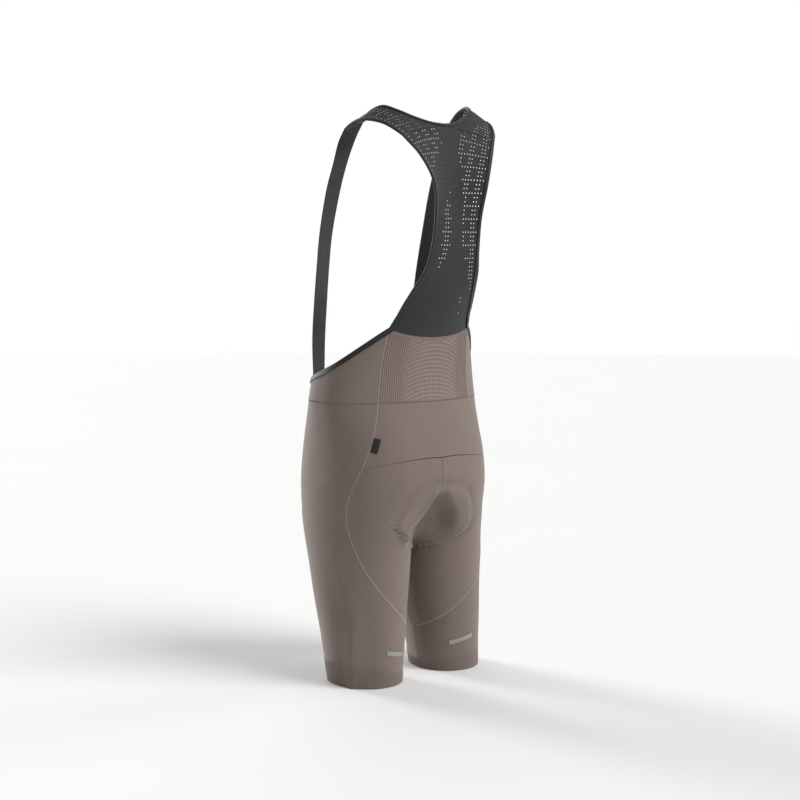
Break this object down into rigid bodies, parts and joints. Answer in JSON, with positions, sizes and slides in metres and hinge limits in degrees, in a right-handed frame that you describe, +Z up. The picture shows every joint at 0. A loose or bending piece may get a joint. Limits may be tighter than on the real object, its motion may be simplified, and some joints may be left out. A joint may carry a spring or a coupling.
{
  "type": "cycling bib shorts",
  "caption": "Worn cycling bib shorts with a ribbed lumbar panel, perforated back panel, shoulder straps and open leg hems.",
  "frame": {"origin": "between the wearer's shoulders, level with the top of the shoulder straps, on the middle plane", "axes": "+Z up, front of the garment towards -Y, wearer's left towards +X"},
  "size_m": [0.3088, 0.29, 0.9391],
  "materials": {
    "taupe_knit": "smooth matte stretch knit",
    "rib_knit": "matte ribbed knit",
    "perforated_knit": "matte perforated knit",
    "elastic": "satin woven elastic",
    "binding": "matte folded edge tape",
    "label": "plain woven satin",
    "reflective": "reflective bonded film"
  },
  "bodies": {
    "root": {"leg_panel_left": "taupe_knit", "leg_panel_right": "taupe_knit", "seat_panel_left": "taupe_knit", "seat_panel_right": "taupe_knit", "back_yoke": "taupe_knit", "waist_front_left": "taupe_knit", "waist_front_right": "taupe_knit", "lumbar_panel": "rib_knit", "back_mesh": "perforated_knit", "strap_left": "elastic", "strap_right": "elastic", "binding_left": "binding", "binding_right": "binding", "neck_binding": "binding", "side_label": "label", "reflective_tab_left": "reflective", "reflective_tab_right": "reflective"}
  },
  "joints": []
}
